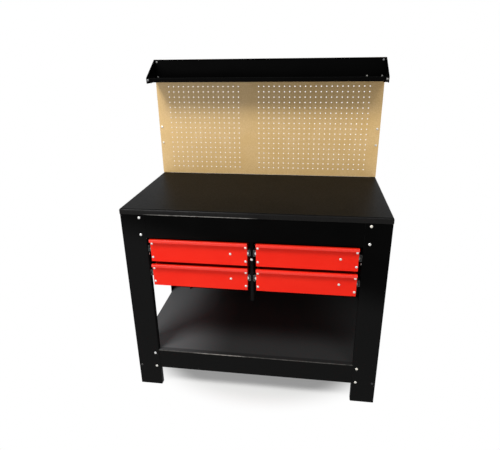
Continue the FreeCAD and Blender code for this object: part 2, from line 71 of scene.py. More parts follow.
FRAME_SHEET = 1.5
FRAME_BEND = 2.0
APRON_TOP_BEND = 5.0
TIGHT_BEND = 0.8
LEG_LIP = 25.0
APRON_FLANGE = 20.0
SHELF_RETURN = 15.0
SHELF_SIDE_DROP = 40.0
NOTCH_GAP = 1.0
CARRIER_SETBACK = 3.0
HAT_WIDTH = 50.0
BACK_SHEET = 0.8

BOARD_SHEET = 4.0
HOLE_RADIUS = 3.0
HOLE_SIDES = 12
HOLE_PITCH = 25.4
HOLE_COLUMNS = 40
HOLE_ROWS = 17
TOP_HOLE_BELOW_TRAY = 29.0
PLAIN_COLUMNS = (15, 16, 17)
TILE_MERGE = 0.01

TRAY_SHEET = 1.2
TRAY_END_SHEET = 1.5
TRAY_LIP = 20.0
TRAY_HEM = 7.0
TRAY_TAB = 26.0
TRAY_END_STEP = 3.0
TRAY_END_RELIEF = 1.0
TRAY_END_ROUND = 2.0

DRAWER_SHEET = 1.2
PULL_DEPTH = 13.0
PULL_DROP = 12.0
PULL_BEND = 1.5
PULL_MARGIN = 0.2
FRONT_RETURN = 10.0
BOX_SHEET = 0.9
BOX_RETURN = 8.0
BOX_BEND = 0.8

SLIDE_GAP = 12.7
SLIDE_HEIGHT = 27.0
RAIL_SHEET = 1.2
RAIL_DEPTH = 11.0
RAIL_HOOK = 3.2
RAIL_BEND = 0.6
MOVING_RAIL_HEIGHT = 17.0
MOVING_RAIL_DEPTH = 9.5
STOP_HEIGHT = 13.0
STOP_GAP = 6.0
STOP_FLAT = 0.1
RUNNING_GAP = 0.3
CAGE_WEB = 0.6
CAGE_SETBACK = 1.0
BALL_PITCH = 12.0
BALL_STEPS = (8, 6)

# Fasteners: radius and height of the head, radius of the shank, and its length past what it holds
BOLT = (6.2, 3.6, 4.0, 5.0)
SCREW = (5.5, 2.6, 2.5, 3.0)
BOLT_STEPS = 16
DOME_TURNS = (0, 0.4, 0.8, 1.15, 1.45)
DOME_SHARE = 0.75
RIM_SHARE = 0.15
CHAMFER = 0.6
NUT_SHARE = 1.85
NUT_HEIGHT = 4.5

# Places of the fasteners: from the bench's middle, or from an edge of what they hold
APRON_BOLT_X = 475.0
APRON_BOLT_DROPS = (36.5, 113.5)
SHELF_BOLT_X = 470.0
SHELF_BOLT_DROPS = (18.5, 93.5)
SHELF_SCREW_X = 544.0
SHELF_SCREW_DROP = 93.5
SIDE_BOLT_INSET = 36.0
UPRIGHT_BOLT_DROPS = (85.0, 263.0)
CARRIER_BOLT_DROP = 77.0
CARRIER_BOLT_INSET = 13.0
DIVIDER_BOLT_INSET = 11.0
BOARD_SCREW_RISES = (161.0, 242.0)
TRAY_SCREW_DROPS = (12.0, 83.0)
TRAY_EXTRA_SCREW_INSET = 82.0
TRAY_EXTRA_SCREW_RISE = 16.0
TRAY_END_SCREW_X = 551.5
FRONT_SCREW_INSET = 7.0
FRONT_SCREW_DROP = 21.0
FRONT_EXTRA_SCREW_INSET = 72.0

# Patterns of the finishes: lengths and places in metres, the rest as shares
PEEL_WIDTH, PEEL_DEPTH = 0.005, 0.0004
FILM_DRIFT = 0.15
RUB_PATCH = 0.02
EDGE_WEAR = 0.0018
FIBRE_LENGTH, FIBRE_DEPTH = 0.006, 0.0003
BOARD_CLOUD = 0.09
ZINC_STREAK, ZINC_DEPTH = 0.004, 0.0002
ZINC_CLOUD = 0.03
# Painted light in the black coat: a paler lower half and left end, and a darker strip along the front edge.
PAINTED_LIGHT_SLOPE = 0.27
PAINTED_LIGHT_STARTS, PAINTED_LIGHT_FULL = 0.77, 0.6
PAINTED_LEFT_STARTS, PAINTED_LEFT_FULL = -0.1, -0.42
FRONT_STRIP_TO = -0.28
FRONT_STRIP_FADE = 0.005
FRONT_STRIP_SHARE = 0.5
# Painted highlight lines: the fade at their ends, their core share, and how far forward they lie.
HIGHLIGHT_FADE = 0.06
HIGHLIGHT_CORE = 0.55
HIGHLIGHT_BEFORE_Y = -0.25

# Values between which a noise, a tilt or a fold starts and fully counts
NOISE_LOW, NOISE_HIGH = 0.3, 0.7
TILT_STARTS, TILT_FULL = 0.3, 0.9
FOLD_STARTS, FOLD_FULL = 0.995, 0.86
RUB_STARTS, RUB_FULL = 0.42, 0.62
PATCH_STARTS, PATCH_FULL = 0.3, 0.55
FLECK_STARTS, FLECK_FULL = 0.35, 0.7
SHIFT_STARTS, SHIFT_FULL = 0.35, 0.65
RUB_MOST = 0.6
PATCH_LEAST = 0.35

# Sockets of a colour mix: its share, its two colours and its result
SHARE, FIRST, SECOND, MIXED = 0, 6, 7, 2


def linear(colour):
    """Linear colour of an sRGB hex value."""
    parts = [int(colour[i:i + 2], 16) / 255 for i in (1, 3, 5)]
    return tuple(c / 12.92 if c <= 0.04045 else ((c + 0.055) / 1.055) ** 2.4 for c in parts) + (1.0,)


def add(tree, kind, inputs=None, **settings):
    """Add a node with its settings. Each input is a value or the socket that feeds it."""
    node = tree.nodes.new(kind)
    for name, value in settings.items():
        setattr(node, name, value)
    for name, value in (inputs or {}).items():
        if isinstance(value, bpy.types.NodeSocket):
            tree.links.new(value, node.inputs[name])
        else:
            node.inputs[name].default_value = value
    return node


def new_material(name):
    """Empty material with its node tree and the object's own coordinates."""
    material = bpy.data.materials.new(name)
    material.use_nodes = True
    tree = material.node_tree
    tree.nodes.clear()
    spot = add(tree, "ShaderNodeTexCoord").outputs["Object"]
    return material, tree, spot


def finish_material(material, tree, surface):
    """Material with its surface joined to its output."""
    add(tree, "ShaderNodeOutputMaterial", {"Surface": surface.outputs[0]})
    return material


def dust_and_painted_light(tree, spot, normal, coat, dust_and_light):
    """Coat under a film of three colours: for the lower half, for faces that look up, and for such faces at the
    left end.

    The lower half, reaching higher on the left, is paler: painted light, as from the floor below and from the
    left. Dust lies thicker on faces that look up. At the left end these faces are paler still: painted light from
    the left. In a strip along the front edge they keep only part of their paler colour, so they are darker there.
    """
    painted_low_light, lying, painted_left_light = [linear(colour) for colour in dust_and_light]
    # Painted light: the lower half, reaching higher on the left, is paler, as if lit from the floor below and
    # from the left.
    height = add(tree, "ShaderNodeVectorMath", {0: spot, 1: (PAINTED_LIGHT_SLOPE, 0.0, 1.0)}, operation="DOT_PRODUCT")
    low = add(tree, "ShaderNodeMapRange",
              {"Value": height.outputs["Value"], "From Min": PAINTED_LIGHT_STARTS, "From Max": PAINTED_LIGHT_FULL},
              interpolation_type="SMOOTHSTEP")
    way = add(tree, "ShaderNodeSeparateXYZ", {"Vector": normal})
    facing_up = add(tree, "ShaderNodeMapRange",
                    {"Value": way.outputs["Z"], "From Min": TILT_STARTS, "From Max": TILT_FULL})
    where = add(tree, "ShaderNodeSeparateXYZ", {"Vector": spot})
    # Painted light from the left: faces that look up turn paler towards the left end.
    to_left = add(tree, "ShaderNodeMapRange",
                  {"Value": where.outputs["X"], "From Min": PAINTED_LEFT_STARTS, "From Max": PAINTED_LEFT_FULL},
                  interpolation_type="SMOOTHSTEP")
    # In a strip along the front edge, faces that look up keep only part of their paler colour, so they are darker
    # there.
    front_strip = add(tree, "ShaderNodeMapRange",
                {"Value": where.outputs["Y"], "From Min": FRONT_STRIP_TO - FRONT_STRIP_FADE, "From Max": FRONT_STRIP_TO,
                 "To Min": FRONT_STRIP_SHARE})
    settled = add(tree, "ShaderNodeMath", {0: facing_up.outputs[0], 1: front_strip.outputs[0]}, operation="MULTIPLY")
    dust_and_left_light = add(tree, "ShaderNodeMix", {SHARE: to_left.outputs[0], FIRST: lying, SECOND: painted_left_light},
               data_type="RGBA")
    film = add(tree, "ShaderNodeMix", {SHARE: settled.outputs[0], FIRST: painted_low_light, SECOND: dust_and_left_light.outputs[MIXED]},
               data_type="RGBA")
    return add(tree, "ShaderNodeMix",
               {SHARE: low.outputs[0], FIRST: coat.outputs[MIXED], SECOND: film.outputs[MIXED]},
               data_type="RGBA")


def painted_highlight_line(tree, spot, rub, coat, line):
    """Coat with a painted highlight: a line a few millimetres high at the front, in the colour of steel, where a
    rounded edge would catch light.

    The line is its height, its reach up and down, its left and right ends, the share that is also painted beyond
    these, and the colour of the steel.
    """
    height, reach, left, right, beyond, steel = line
    where = add(tree, "ShaderNodeSeparateXYZ", {"Vector": spot})
    above = add(tree, "ShaderNodeMath", {0: where.outputs["Z"], 1: height}, operation="SUBTRACT")
    away = add(tree, "ShaderNodeMath", {0: above.outputs[0]}, operation="ABSOLUTE")
    on_line = add(tree, "ShaderNodeMapRange",
                  {"Value": away.outputs[0], "From Min": reach, "From Max": reach * HIGHLIGHT_CORE})
    starts = add(tree, "ShaderNodeMapRange",
                 {"Value": where.outputs["X"], "From Min": left, "From Max": left + HIGHLIGHT_FADE})
    ends = add(tree, "ShaderNodeMapRange",
               {"Value": where.outputs["X"], "From Min": right, "From Max": right - HIGHLIGHT_FADE})
    span = add(tree, "ShaderNodeMath", {0: starts.outputs[0], 1: ends.outputs[0]}, operation="MULTIPLY")
    front = add(tree, "ShaderNodeMath", {0: where.outputs["Y"], 1: HIGHLIGHT_BEFORE_Y}, operation="LESS_THAN")
    patch = add(tree, "ShaderNodeMapRange",
                {"Value": rub.outputs["Fac"], "From Min": PATCH_STARTS, "From Max": PATCH_FULL,
                 "To Min": PATCH_LEAST})
    share = add(tree, "ShaderNodeMapRange", {"Value": span.outputs[0], "To Min": beyond})
    for limit in (front, patch, on_line):
        share = add(tree, "ShaderNodeMath", {0: share.outputs[0], 1: limit.outputs[0]}, operation="MULTIPLY")
    return add(tree, "ShaderNodeMix",
               {SHARE: share.outputs[0], FIRST: coat.outputs[MIXED], SECOND: linear(steel)}, data_type="RGBA")


def powder_coat(name, colours, worn, roughness, specular, dust_and_light=None, highlight_line=None):
    """Steel sheet, phosphated and powder coated in an oven: a satin film with a faint orange peel.

    Dust lies on faces that look up where film colours are given, and with them comes painted light: paler low
    down and at the left end. Where a line is given, a painted highlight in the colour of steel runs along it.
    """
    material, tree, spot = new_material(name)
    # The melted powder leaves a shallow orange peel, about 3 mm from crest to crest.
    # It is drawn 5 mm wide, because 3 mm is under a pixel at the bench's full size.
    peel = add(tree, "ShaderNodeTexNoise",
               {"Vector": spot, "Scale": 1 / PEEL_WIDTH, "Detail": 3.0, "Roughness": 0.55})
    # Film thickness drifts over some 150 mm, so the tone drifts with it.
    drift = add(tree, "ShaderNodeTexNoise", {"Vector": spot, "Scale": 1 / FILM_DRIFT, "Detail": 4.0})
    thickness = add(tree, "ShaderNodeMapRange",
                    {"Value": drift.outputs["Fac"], "From Min": NOISE_LOW, "From Max": NOISE_HIGH})
    tone = add(tree, "ShaderNodeMix",
               {SHARE: thickness.outputs[0], FIRST: linear(colours[0]), SECOND: linear(colours[1])},
               data_type="RGBA")
    normal = add(tree, "ShaderNodeNewGeometry").outputs["Normal"]
    # Dust on faces that look up, with painted light low down and at the left end.
    if dust_and_light:
        tone = dust_and_painted_light(tree, spot, normal, tone, dust_and_light)
    # Hands and tools rub the coat thin along folds and cut edges, in patches of about 20 mm.
    rounded = add(tree, "ShaderNodeBevel", {"Radius": EDGE_WEAR}, samples=6)
    facing = add(tree, "ShaderNodeVectorMath", {0: rounded.outputs[0], 1: normal}, operation="DOT_PRODUCT")
    edge = add(tree, "ShaderNodeMapRange",
               {"Value": facing.outputs["Value"], "From Min": FOLD_STARTS, "From Max": FOLD_FULL})
    rub = add(tree, "ShaderNodeTexNoise", {"Vector": spot, "Scale": 1 / RUB_PATCH, "Detail": 5.0})
    rubbed = add(tree, "ShaderNodeMapRange",
                 {"Value": rub.outputs["Fac"], "From Min": RUB_STARTS, "From Max": RUB_FULL, "To Max": RUB_MOST})
    wear = add(tree, "ShaderNodeMath", {0: edge.outputs[0], 1: rubbed.outputs[0]}, operation="MULTIPLY")
    coat = add(tree, "ShaderNodeMix",
               {SHARE: wear.outputs[0], FIRST: tone.outputs[MIXED], SECOND: linear(worn)}, data_type="RGBA")
    # A painted highlight: a line in the colour of steel along a rounded front edge.
    if highlight_line:
        coat = painted_highlight_line(tree, spot, rub, coat, highlight_line)
    gloss = add(tree, "ShaderNodeMapRange",
                {"Value": peel.outputs["Fac"], "From Min": NOISE_LOW, "From Max": NOISE_HIGH,
                 "To Min": roughness - 0.05, "To Max": roughness + 0.06})
    bump = add(tree, "ShaderNodeBump", {"Height": peel.outputs["Fac"], "Strength": 0.12, "Distance": PEEL_DEPTH})
    surface = add(tree, "ShaderNodeBsdfPrincipled", {
        "Base Color": coat.outputs[MIXED], "Roughness": gloss.outputs[0], "Normal": bump.outputs[0],
        "IOR": 1.5, "Specular IOR Level": specular})
    return finish_material(material, tree, surface)


def pressed_hardboard():
    """Hardboard: wood fibre pressed hot against a smooth plate, so it is tan, flecked and a little glossy."""
    material, tree, spot = new_material("hardboard_hot_pressed")
    # Fibre bundles of a few millimetres lie flat in the face and show as short darker flecks.
    fibre = add(tree, "ShaderNodeTexNoise",
                {"Vector": spot, "Scale": 1 / FIBRE_LENGTH, "Detail": 6.0, "Roughness": 0.7})
    fleck = add(tree, "ShaderNodeMapRange",
                {"Value": fibre.outputs["Fac"], "From Min": FLECK_STARTS, "From Max": FLECK_FULL})
    # The mat is never quite even: paler and browner clouds of about 90 mm.
    cloud = add(tree, "ShaderNodeTexNoise", {"Vector": spot, "Scale": 1 / BOARD_CLOUD, "Detail": 3.0})
    cloudy = add(tree, "ShaderNodeMapRange",
                 {"Value": cloud.outputs["Fac"], "From Min": NOISE_LOW, "From Max": NOISE_HIGH})
    ground = add(tree, "ShaderNodeMix",
                 {SHARE: cloudy.outputs[0], FIRST: linear("#E3BF80"), SECOND: linear("#ECCB95")},
                 data_type="RGBA")
    board = add(tree, "ShaderNodeMix",
                {SHARE: fleck.outputs[0], FIRST: linear("#D6B072"), SECOND: ground.outputs[MIXED]},
                data_type="RGBA")
    gloss = add(tree, "ShaderNodeMapRange", {"Value": fibre.outputs["Fac"], "To Min": 0.36, "To Max": 0.52})
    bump = add(tree, "ShaderNodeBump",
               {"Height": fibre.outputs["Fac"], "Strength": 0.15, "Distance": FIBRE_DEPTH})
    surface = add(tree, "ShaderNodeBsdfPrincipled", {
        "Base Color": board.outputs[MIXED], "Roughness": gloss.outputs[0], "Normal": bump.outputs[0],
        "Specular IOR Level": 0.55})
    return finish_material(material, tree, surface)


def zinc_plated(name, colours, roughness, grain):
    """Steel, zinc plated and passivated: bright, faintly cloudy grey."""
    material, tree, spot = new_material(name)
    # Grain runs along the drawn bar or rolled strip, so it is stretched that way.
    drawn = add(tree, "ShaderNodeMapping", {"Vector": spot, "Scale": grain})
    streak = add(tree, "ShaderNodeTexNoise",
                 {"Vector": drawn.outputs[0], "Scale": 1 / ZINC_STREAK, "Detail": 4.0})
    # The passive film shifts between cool and warm grey from spot to spot, some 30 mm apart.
    film = add(tree, "ShaderNodeTexNoise", {"Vector": spot, "Scale": 1 / ZINC_CLOUD, "Detail": 2.0})
    shift = add(tree, "ShaderNodeMapRange",
                {"Value": film.outputs["Fac"], "From Min": SHIFT_STARTS, "From Max": SHIFT_FULL})
    tint = add(tree, "ShaderNodeMix",
               {SHARE: shift.outputs[0], FIRST: linear(colours[0]), SECOND: linear(colours[1])},
               data_type="RGBA")
    gloss = add(tree, "ShaderNodeMapRange",
                {"Value": streak.outputs["Fac"], "From Min": NOISE_LOW, "From Max": NOISE_HIGH,
                 "To Min": roughness - 0.08, "To Max": roughness + 0.1})
    bump = add(tree, "ShaderNodeBump",
               {"Height": streak.outputs["Fac"], "Strength": 0.1, "Distance": ZINC_DEPTH})
    surface = add(tree, "ShaderNodeBsdfPrincipled", {
        "Base Color": tint.outputs[MIXED], "Metallic": 1.0, "Roughness": gloss.outputs[0],
        "Normal": bump.outputs[0]})
    return finish_material(material, tree, surface)


# Black coat: deep black with hardly any sheen. The worktop's top is a little paler, a painted sheen, and its
# rolled edge and skirt paler still, a painted sheen on the faces that turn forwards.
COAT_BLACK = ("#020202", "#040404")
# Film colours, in turn: painted light on the lower half, a grey film lying on faces that look up, and painted
# light on those faces at the left end.
BLACK = powder_coat("steel_black_powder_coat", COAT_BLACK, "#2A2A2B", 0.42, 0.02,
                    dust_and_light=("#131313", "#303131", "#5C5E5F"))
SHELF_BLACK = powder_coat("steel_black_powder_coat_shelf_painted_highlight", COAT_BLACK, "#2A2A2B", 0.42, 0.02,
                          dust_and_light=("#131313", "#2E2F2F", "#5C5E5F"),
                          # A painted highlight line along the shelf's front fold.
                          highlight_line=(0.2004, 0.0022, -0.29, -0.02, 0.28, "#8A8782"))
TOP_BLACK = powder_coat("steel_black_powder_coat_worktop", ("#060606", "#0B0B0B"), "#2E2E2E", 0.44, 0.03)
ROLLED_BLACK = powder_coat("steel_black_powder_coat_edge_painted_sheen", ("#0C0B0B", "#131211"), "#403E3B", 0.3, 0.1,
                           # A painted highlight line along the skirt's bottom edge.
                           highlight_line=(0.889, 0.0032, -0.46, 0.03, 0.0, "#8C8A86"))
# Red coat: clear, slightly orange red. The pulls have more shine, and their copy of the red is a touch paler: a
# painted highlight.
RED = powder_coat("steel_red_powder_coat", ("#EE200E", "#F22814"), "#F26A58", 0.36, 0.11)
PULL_RED = powder_coat("steel_red_powder_coat_glossier_pull_painted_highlight", ("#F0240F", "#F42C16"), "#F58070", 0.3, 0.45)
HARDBOARD = pressed_hardboard()
# Zinc: bright on most bolts, duller on the tray's bolts, and streaked lengthways on the rolled strip of the
# slides. The slides beside the legs have a darker copy: painted shade.
EVEN_GRAIN = (1.0, 1.0, 1.0)
LONG_GRAIN = (1.0, 0.05, 1.0)
ZINC = zinc_plated("steel_bright_zinc_plate", ("#CDCFD0", "#DAD5CA"), 0.34, EVEN_GRAIN)
DULL_ZINC = zinc_plated("steel_dull_zinc_plate", ("#686B6E", "#767470"), 0.42, EVEN_GRAIN)
BLACKENED = zinc_plated("steel_black_zinc_plate", ("#3A3B3D", "#454341"), 0.4, EVEN_GRAIN)
SLIDE_STEEL = zinc_plated("steel_rolled_zinc_plate", ("#8C9094", "#9B9993"), 0.36, LONG_GRAIN)
SHADED_SLIDE_STEEL = zinc_plated("steel_rolled_zinc_plate_painted_shade", ("#606264", "#6B6965"), 0.45, LONG_GRAIN)


def corners(node):
    """Lowest and highest corner of a solid, in millimetres."""
    low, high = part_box(node)
    return low / MM, high / MM


def piece(name, bm, body, material, nodes, wall=0.0, edge=EDGE_ROUND, smooth=True, more=()):
    """Make a mesh a finished piece: scaled to metres, given its wall and edges, and set on its body."""
    bmesh.ops.scale(bm, vec=(MM, MM, MM), verts=bm.verts)
    mesh = bpy.data.meshes.new(name)
    bm.to_mesh(mesh)
    bm.free()
    if smooth:
        mesh.shade_smooth()
    for finish in (material, *more):
        mesh.materials.append(finish)
    obj = bpy.data.objects.new(name, mesh)
    bpy.context.scene.collection.objects.link(obj)
    if wall:
        sheet = obj.modifiers.new("wall", "SOLIDIFY")
        sheet.thickness = wall * MM
        sheet.offset = -1.0
        sheet.use_even_offset = True
    if edge:
        rounding = obj.modifiers.new("edges", "BEVEL")
        rounding.width = edge * MM
        rounding.segments = 2
        rounding.limit_method = "ANGLE"
        rounding.angle_limit = EDGE_ANGLE
        rounding.harden_normals = True
    if smooth:
        obj.modifiers.new("shading", "WEIGHTED_NORMAL").keep_sharp = True
    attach(obj, body)
    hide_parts(*nodes)


def on_axis(axis, along, a, b):
    """Point of a section that is drawn across the named axis."""
    return Vector({"x": (along, a, b), "y": (a, along, b), "z": (a, b, along)}[axis])


def drawn_out(bm, edges, way):
    """Draw edges out along a vector, as new faces. Returns the edges at the far end."""
    grown = bmesh.ops.extrude_edge_only(bm, edges=edges)["geom"]
    tips = {g for g in grown if isinstance(g, bmesh.types.BMVert)}
    bmesh.ops.translate(bm, verts=list(tips), vec=way)
    return [g for g in grown if isinstance(g, bmesh.types.BMEdge) and tips.issuperset(g.verts)]


def rounded_off(bm, geom, radius, steps, affect="EDGES"):
    """Round off folds or, by their points, the corners of an outline. A single step is a chamfer."""
    bmesh.ops.bevel(bm, geom=geom, offset=radius, offset_type="OFFSET", segments=steps, profile=0.5,
                    affect=affect, material=-1)


def folded_sheet(section, axis, levels, wall, bends, cut=None):
    """Face of a folded sheet: a section line drawn out along an axis, its corners bent round.

    The wall lies on the left of the line as it is walked. Faces whose middle is in the cut are left out.
    """
    bm = bmesh.new()
    line = [bm.verts.new(on_axis(axis, levels[0], a, b)) for a, b in section]
    edges = [bm.edges.new(ends) for ends in zip(line, line[1:])]
    for start, end in zip(levels, levels[1:]):
        edges = drawn_out(bm, edges, on_axis(axis, end - start, 0, 0))
    if cut:
        gone = [f for f in bm.faces if cut(f.calc_center_median())]
        bmesh.ops.delete(bm, geom=gone, context="FACES")
    bmesh.ops.recalc_face_normals(bm, faces=bm.faces)
    (a0, b0), (a1, b1) = section[0], section[1]
    outward = on_axis(axis, 0, b1 - b0, a0 - a1).normalized()
    origin = on_axis(axis, 0, a0, b0)
    first = [f for f in bm.faces if abs((f.calc_center_median() - origin).dot(outward)) < CLOSE
             and abs(f.normal.dot(outward)) > PARALLEL]
    if first[0].normal.dot(outward) < 0:
        bmesh.ops.reverse_faces(bm, faces=bm.faces)
    for i, bend in enumerate(bends, 1):
        before = Vector(section[i]) - Vector(section[i - 1])
        after = Vector(section[i + 1]) - Vector(section[i])
        turn = before.x * after.y - before.y * after.x
        corner = section[i]
        fold = [e for e in bm.edges if len(e.link_faces) == 2 and all(
            (v.co - on_axis(axis, v.co.dot(on_axis(axis, 1, 0, 0)), *corner)).length < CLOSE for v in e.verts)]
        rounded_off(bm, fold, bend + (wall if turn > 0 else 0), FOLD_STEPS)
    return bm


def flat_face(bm, outline):
    """Add one flat face to a sheet. Its outside is the side from which the outline runs anticlockwise."""
    bm.faces.new([bm.verts.new(p) for p in outline])


top_low, top_high = corners("worktop")
leg_low, leg_high = corners("leg_front_right")
shelf_low, shelf_high = corners("lower_shelf")
apron_low, apron_high = corners("front_apron")
middle_y = (top_low.y + top_high.y) / 2
leg_front = leg_low.y
leg_rear = 2 * middle_y - leg_front


def mirrored(bm, across_x, across_y):
    """Mirror image of a sheet in X, in the middle of the worktop's depth, or in both."""
    factor = (-1 if across_x else 1, -1 if across_y else 1, 1)
    bmesh.ops.translate(bm, verts=bm.verts, vec=(0, -middle_y, 0))
    bmesh.ops.scale(bm, vec=factor, verts=bm.verts)
    bmesh.ops.translate(bm, verts=bm.verts, vec=(0, middle_y, 0))
    if across_x != across_y:
        bmesh.ops.reverse_faces(bm, faces=bm.faces)
    return bm


def worktop():
    """Pressed pan: skirt with round corners, edge rolled over to the flat top, notched for the uprights."""
    size = top_high - top_low
    middle = (top_low + top_high) / 2
    roll = Vector((0, 0, WORKTOP_ROLL))
    bm = bmesh.new()
    bmesh.ops.create_cube(bm, size=1.0)
    bmesh.ops.scale(bm, vec=size - roll, verts=bm.verts)
    bmesh.ops.translate(bm, vec=middle - roll / 2, verts=bm.verts)
    bmesh.ops.delete(bm, geom=[f for f in bm.faces if abs(f.normal.z) > 0.5], context="FACES_ONLY")
    standing = [e for e in bm.edges if abs(e.verts[0].co.z - e.verts[1].co.z) > NEAR]
    rounded_off(bm, standing, WORKTOP_CORNER, FOLD_STEPS)
    rim = [e for e in bm.edges if all(v.co.z > middle.z for v in e.verts)]
    inset, rise = 0.0, 0.0
    for step in range(1, 2 * FOLD_STEPS + 1):
        turn = math.pi / 4 * step / FOLD_STEPS
        now, up = WORKTOP_ROLL * (1 - math.cos(turn)), WORKTOP_ROLL * math.sin(turn)
        rim = drawn_out(bm, rim, (0, 0, up - rise))
        narrower = ((size.x - 2 * now) / (size.x - 2 * inset), (size.y - 2 * now) / (size.y - 2 * inset), 1)
        bmesh.ops.scale(bm, vec=narrower, verts=list({v for e in rim for v in e.verts}),
                        space=Matrix.Translation(-middle))
        inset, rise = now, up
    bmesh.ops.contextual_create(bm, geom=rim)
    bmesh.ops.recalc_face_normals(bm, faces=bm.faces)
    inside = corners("upright_right")[0].x - SKIRT_GAP
    behind = leg_rear - SKIRT_GAP
    across, along = (1, 0, 0), (0, 1, 0)
    for point, normal in (((inside, 0, 0), across), ((-inside, 0, 0), across), ((0, behind, 0), along)):
        bmesh.ops.bisect_plane(bm, geom=bm.verts[:] + bm.edges[:] + bm.faces[:], dist=FINE,
                               plane_co=point, plane_no=normal)
    notches = [f for f in bm.faces
               if abs(f.calc_center_median().x) > inside and f.calc_center_median().y > behind]
    bmesh.ops.delete(bm, geom=notches, context="FACES")
    # Slivers at the notches are merged in a fixed order, so that the same points stay each time.
    bmesh.ops.remove_doubles(bm, verts=sorted(bm.verts, key=lambda v: v.co[:]), dist=NOTCH_MERGE)
    # Faces that turn forwards take the paler copy of the coat: painted sheen on the rolled edge and skirt.
    for face in bm.faces:
        face.material_index = int(face.normal.z < ROLL_SLOPE)
    return bm


def leg():
    """Right front leg: wide face, side flange and an inner lip that is cut away for apron and shelf."""
    inner, outer = leg_low.x, leg_high.x
    section = [(inner, leg_front + LEG_LIP), (inner, leg_front), (outer, leg_front), (outer, leg_high.y)]
    notches = ((shelf_low.z - NOTCH_GAP, shelf_high.z + NOTCH_GAP), (apron_low.z - NOTCH_GAP, leg_high.z))
    levels = [0.0] + [z for notch in notches for z in notch]

    def notched(middle):
        return middle.x < inner + NEAR and any(low < middle.z < high for low, high in notches)

    return folded_sheet(section, "z", levels, FRAME_SHEET, [FRAME_BEND] * 2, notched)


def apron():
    """Front apron: a channel with its flanges to the rear."""
    face, top, bottom = apron_low.y, apron_high.z, apron_low.z
    section = [(face + APRON_FLANGE, top), (face, top), (face, bottom), (face + APRON_FLANGE, bottom)]
    return folded_sheet(section, "x", [apron_low.x, apron_high.x], FRAME_SHEET, [APRON_TOP_BEND, FRAME_BEND])


def side_apron():
    """Right side apron."""
    low, high = corners("side_apron_right")
    section = [(low.x, low.z), (high.x, low.z), (high.x, high.z), (low.x, high.z)]
    return folded_sheet(section, "y", [low.y, high.y], FRAME_SHEET, [FRAME_BEND, APRON_TOP_BEND])


def lower_shelf():
    """Shelf: floor, deep front and rear walls with returns, and short side walls."""
    front, rear, top, bottom = shelf_low.y, shelf_high.y, shelf_high.z, shelf_low.z
    section = [(rear - SHELF_RETURN, bottom), (rear, bottom), (rear, top), (front, top), (front, bottom),
               (front + SHELF_RETURN, bottom)]
    bends = [TIGHT_BEND, FRAME_BEND, FRAME_BEND, TIGHT_BEND]
    bm = folded_sheet(section, "x", [shelf_low.x, shelf_high.x], FRAME_SHEET, bends)
    ends = [e for e in bm.edges if e.is_boundary and all(abs(v.co.z - top) < CLOSE for v in e.verts)]
    drawn_out(bm, ends, (0, 0, -SHELF_SIDE_DROP))
    return bm


def hat(node):
    """Hat-section stiffener under a sheet."""
    low, high = corners(node)
    middle = (low.y + high.y) / 2
    front, rear = middle - HAT_WIDTH / 2, middle + HAT_WIDTH / 2
    section = [(high.y, high.z), (rear, high.z), (rear, low.z), (front, low.z), (front, high.z),
               (low.y, high.z)]
    return folded_sheet(section, "x", [low.x, high.x], FRAME_SHEET, [TIGHT_BEND] * 4)


def back_panel():
    """Flat panel behind the lower bay."""
    low, high = corners("back_panel")
    section = [(low.x, low.y), (high.x, low.y)]
    return folded_sheet(section, "z", [low.z, high.z], BACK_SHEET, [])


def drawer_carrier():
    """Right drawer carrier: a plate on the leg lips, flanged outwards between them."""
    low, high = corners("drawer_carrier_right")
    section = [(high.x, high.z), (low.x, high.z), (low.x, low.z), (high.x, low.z)]
    clear = LEG_LIP + CARRIER_SETBACK
    levels = [low.y, leg_front + clear, leg_rear - clear, high.y]

    def past_flange(middle):
        return middle.x > low.x + NEAR and not levels[1] < middle.y < levels[2]

    return folded_sheet(section, "y", levels, FRAME_SHEET, [TIGHT_BEND] * 2, past_flange)


def divider_half(node, section, left, right):
    """Half of the divider: a channel from top to bottom, with a flat top between two places in X."""
    low, high = corners(node)
    bm = folded_sheet(section, "z", [low.z, high.z], FRAME_SHEET, [TIGHT_BEND] * 2)
    front, rear = low.y + END_INSET, high.y - END_INSET
    flat_face(bm, [(left, front, high.z), (right, front, high.z), (right, rear, high.z), (left, rear, high.z)])
    return bm


def divider_left():
    """Left half of the divider, its flanges over those of the right half."""
    low, high = corners("divider_left")
    section = [(high.x, high.y), (low.x, high.y), (low.x, low.y), (high.x, low.y)]
    return divider_half("divider_left", section, low.x + END_INSET, high.x)


def divider_right():
    """Right half of the divider, its flanges inside those of the left half."""
    low, high = corners("divider_right")
    section = [(low.x, low.y), (high.x, low.y), (high.x, high.y), (low.x, high.y)]
    return divider_half("divider_right", section, low.x, high.x - END_INSET)


def upright():
    """Right upright: a channel, open to the rear."""
    low, high = corners("upright_right")
    section = [(low.x, high.y), (low.x, low.y), (high.x, low.y), (high.x, high.y)]
    return folded_sheet(section, "z", [low.z, high.z], FRAME_SHEET, [TIGHT_BEND] * 2)


def tile(holed):
    """One square of the board, with or without its round hole, in the board's plane."""
    bm = bmesh.new()
    bmesh.ops.create_grid(bm, x_segments=3, y_segments=3, size=HOLE_PITCH / 2)
    if holed:
        inner = [v for v in bm.verts if not v.is_boundary]
        bmesh.ops.delete(bm, geom=bm.faces[:], context="FACES_ONLY")
        bmesh.ops.delete(bm, geom=inner, context="VERTS")
        bmesh.ops.create_circle(bm, segments=HOLE_SIDES, radius=HOLE_RADIUS,
                                matrix=Matrix.Rotation(math.pi / HOLE_SIDES, 4, "Z"))
        bmesh.ops.bridge_loops(bm, edges=bm.edges[:])
    bmesh.ops.rotate(bm, verts=bm.verts, matrix=Matrix.Rotation(math.pi / 2, 3, "X"))
    mesh = bpy.data.meshes.new("tile")
    bm.to_mesh(mesh)
    bm.free()
    return mesh


